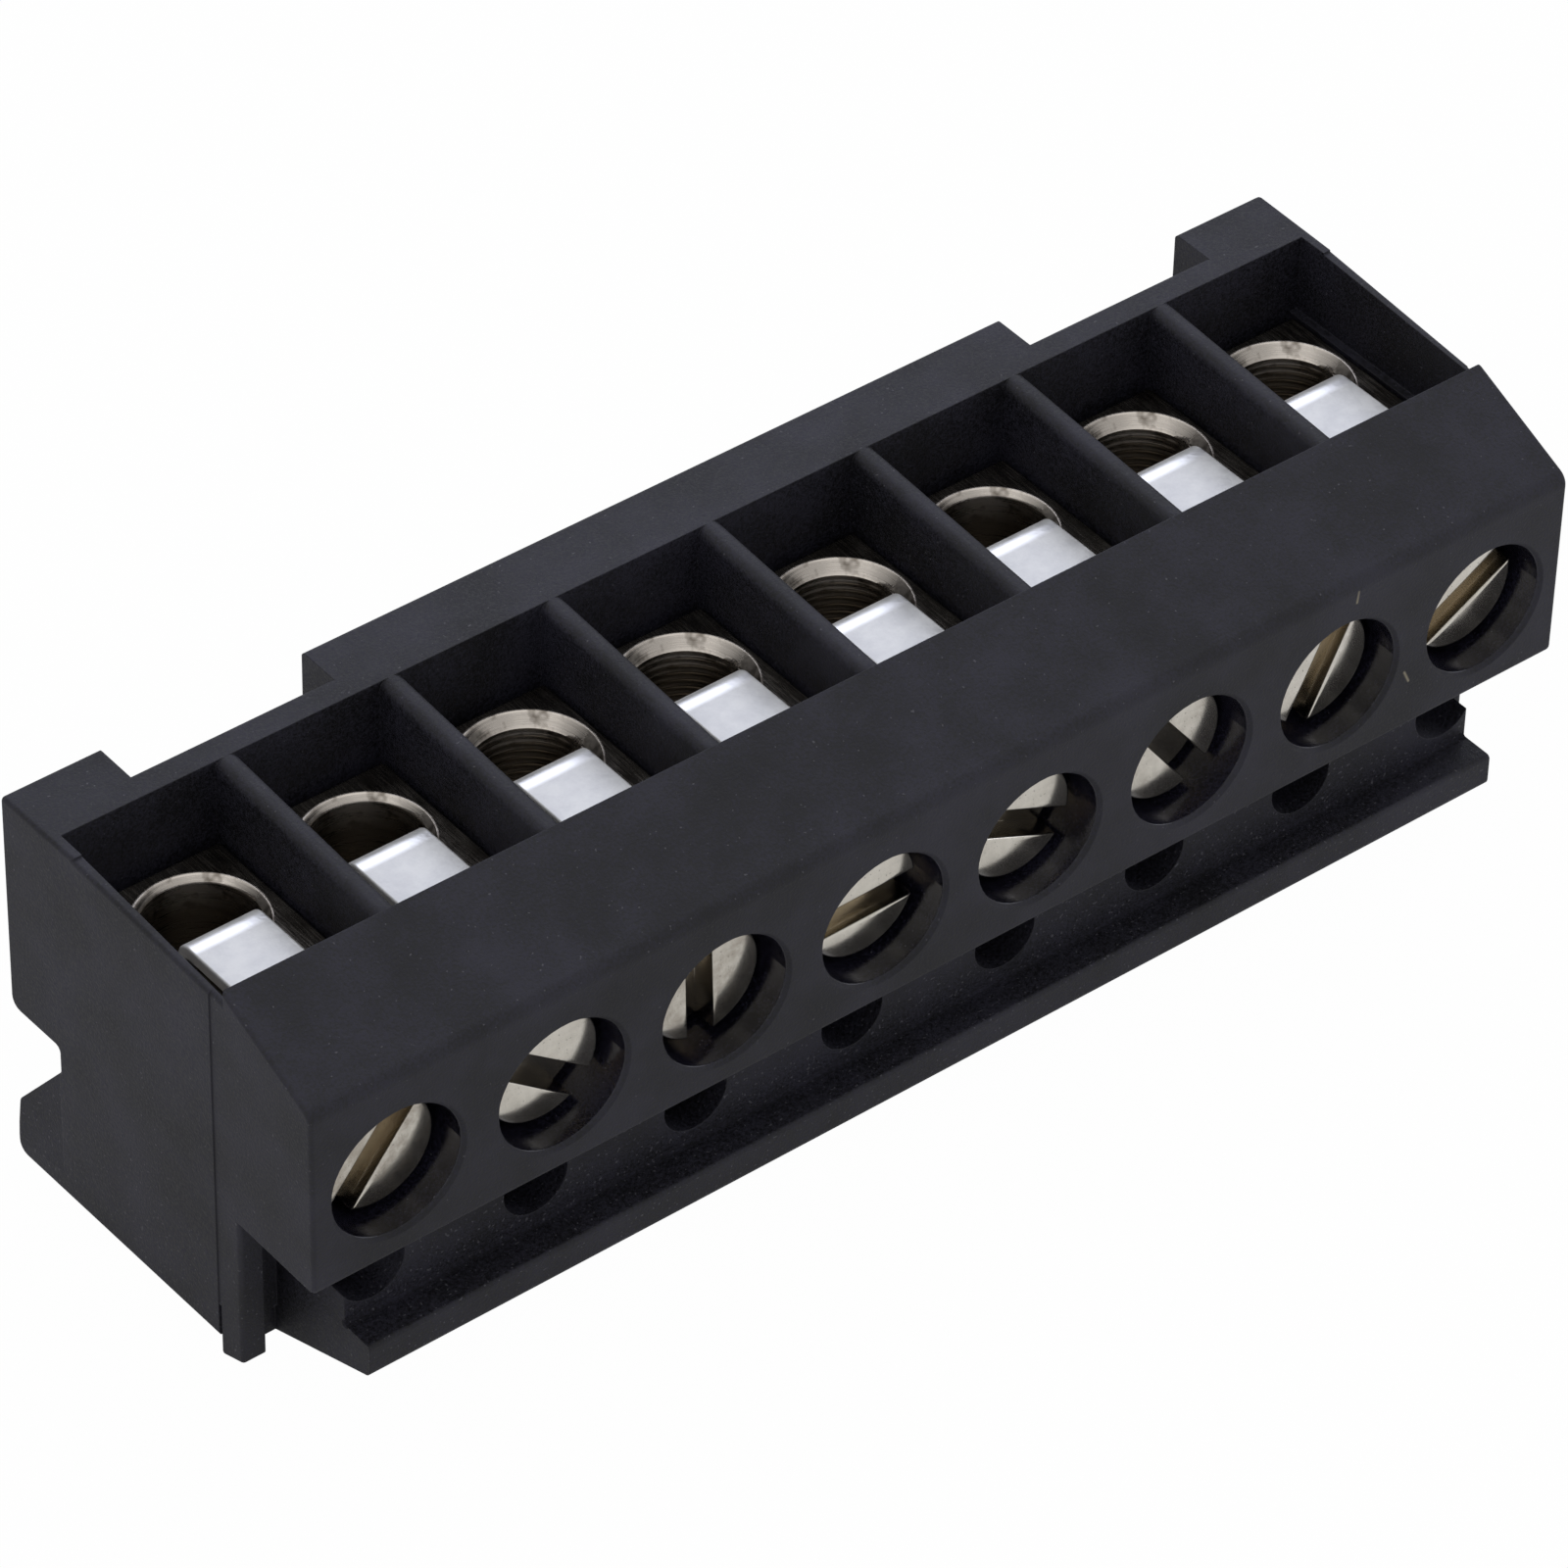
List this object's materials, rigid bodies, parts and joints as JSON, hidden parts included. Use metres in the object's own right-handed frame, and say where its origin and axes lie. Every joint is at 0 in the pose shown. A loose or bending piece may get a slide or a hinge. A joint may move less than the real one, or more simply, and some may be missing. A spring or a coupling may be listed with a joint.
{
  "type": "pluggable screw terminal block",
  "caption": "Pluggable terminal block with a row of screw clamps: wires enter funnels on top, screws face the front, header pins enter from below.",
  "frame": {"origin": "middle of the bounding box on the plane that the plug rests on", "axes": "+X along the row of poles, the screw face looks to -Y, the wire funnels open to +Z"},
  "size_m": [0.0412, 0.0128, 0.0129],
  "materials": {
    "housing": "moulded, finely eroded",
    "clamp_body": "nickel plated",
    "clamp_screw": "zinc plated",
    "wire_guard": "bright tin",
    "pin_contact": "tin plated"
  },
  "bodies": {
    "plug": {"housing": "housing", "clamp_body_1": "clamp_body", "clamp_body_2": "clamp_body", "clamp_body_3": "clamp_body", "clamp_body_4": "clamp_body", "clamp_body_5": "clamp_body", "clamp_body_6": "clamp_body", "clamp_body_7": "clamp_body", "clamp_body_8": "clamp_body", "pin_contact_1": "pin_contact", "pin_contact_2": "pin_contact", "pin_contact_3": "pin_contact", "pin_contact_4": "pin_contact", "pin_contact_5": "pin_contact", "pin_contact_6": "pin_contact", "pin_contact_7": "pin_contact", "pin_contact_8": "pin_contact"},
    "guard_1": {"wire_guard_1": "wire_guard"},
    "screw_1": {"clamp_screw_1": "clamp_screw"},
    "guard_2": {"wire_guard_2": "wire_guard"},
    "screw_2": {"clamp_screw_2": "clamp_screw"},
    "guard_3": {"wire_guard_3": "wire_guard"},
    "screw_3": {"clamp_screw_3": "clamp_screw"},
    "guard_4": {"wire_guard_4": "wire_guard"},
    "screw_4": {"clamp_screw_4": "clamp_screw"},
    "guard_5": {"wire_guard_5": "wire_guard"},
    "screw_5": {"clamp_screw_5": "clamp_screw"},
    "guard_6": {"wire_guard_6": "wire_guard"},
    "screw_6": {"clamp_screw_6": "clamp_screw"},
    "guard_7": {"wire_guard_7": "wire_guard"},
    "screw_7": {"clamp_screw_7": "clamp_screw"},
    "guard_8": {"wire_guard_8": "wire_guard"},
    "screw_8": {"clamp_screw_8": "clamp_screw"}
  },
  "joints": [
    {"name": "guard_slide_1", "type": "slide", "parent": "plug", "child": "guard_1", "axis": [0, 1, 0], "range_m": [-0.00015, 0.0016]},
    {"name": "screw_turn_1", "type": "hinge", "parent": "guard_1", "child": "screw_1", "pos_m": [-0.01778, -0.00545, 0.0081], "axis": [0, 1, 0], "range_deg": [-110, 1155]},
    {"name": "guard_slide_2", "type": "slide", "parent": "plug", "child": "guard_2", "axis": [0, 1, 0], "range_m": [-0.00015, 0.0016]},
    {"name": "screw_turn_2", "type": "hinge", "parent": "guard_2", "child": "screw_2", "pos_m": [-0.0127, -0.00545, 0.0081], "axis": [0, 1, 0], "range_deg": [-110, 1155]},
    {"name": "guard_slide_3", "type": "slide", "parent": "plug", "child": "guard_3", "axis": [0, 1, 0], "range_m": [-0.00015, 0.0016]},
    {"name": "screw_turn_3", "type": "hinge", "parent": "guard_3", "child": "screw_3", "pos_m": [-0.00762, -0.00545, 0.0081], "axis": [0, 1, 0], "range_deg": [-110, 1155]},
    {"name": "guard_slide_4", "type": "slide", "parent": "plug", "child": "guard_4", "axis": [0, 1, 0], "range_m": [-0.00015, 0.0016]},
    {"name": "screw_turn_4", "type": "hinge", "parent": "guard_4", "child": "screw_4", "pos_m": [-0.00254, -0.00545, 0.0081], "axis": [0, 1, 0], "range_deg": [-110, 1155]},
    {"name": "guard_slide_5", "type": "slide", "parent": "plug", "child": "guard_5", "axis": [0, 1, 0], "range_m": [-0.00015, 0.0016]},
    {"name": "screw_turn_5", "type": "hinge", "parent": "guard_5", "child": "screw_5", "pos_m": [0.00254, -0.00545, 0.0081], "axis": [0, 1, 0], "range_deg": [-110, 1155]},
    {"name": "guard_slide_6", "type": "slide", "parent": "plug", "child": "guard_6", "axis": [0, 1, 0], "range_m": [-0.00015, 0.0016]},
    {"name": "screw_turn_6", "type": "hinge", "parent": "guard_6", "child": "screw_6", "pos_m": [0.00762, -0.00545, 0.0081], "axis": [0, 1, 0], "range_deg": [-110, 1155]},
    {"name": "guard_slide_7", "type": "slide", "parent": "plug", "child": "guard_7", "axis": [0, 1, 0], "range_m": [-0.00015, 0.0016]},
    {"name": "screw_turn_7", "type": "hinge", "parent": "guard_7", "child": "screw_7", "pos_m": [0.0127, -0.00545, 0.0081], "axis": [0, 1, 0], "range_deg": [-110, 1155]},
    {"name": "guard_slide_8", "type": "slide", "parent": "plug", "child": "guard_8", "axis": [0, 1, 0], "range_m": [-0.00015, 0.0016]},
    {"name": "screw_turn_8", "type": "hinge", "parent": "guard_8", "child": "screw_8", "pos_m": [0.01778, -0.00545, 0.0081], "axis": [0, 1, 0], "range_deg": [-110, 1155]}
  ],
  "couplings": [
    {"joint": "screw_turn_1", "follows": "guard_slide_1", "rad_per_m": 12566},
    {"joint": "screw_turn_2", "follows": "guard_slide_2", "rad_per_m": 12566},
    {"joint": "screw_turn_3", "follows": "guard_slide_3", "rad_per_m": 12566},
    {"joint": "screw_turn_4", "follows": "guard_slide_4", "rad_per_m": 12566},
    {"joint": "screw_turn_5", "follows": "guard_slide_5", "rad_per_m": 12566},
    {"joint": "screw_turn_6", "follows": "guard_slide_6", "rad_per_m": 12566},
    {"joint": "screw_turn_7", "follows": "guard_slide_7", "rad_per_m": 12566},
    {"joint": "screw_turn_8", "follows": "guard_slide_8", "rad_per_m": 12566}
  ]
}
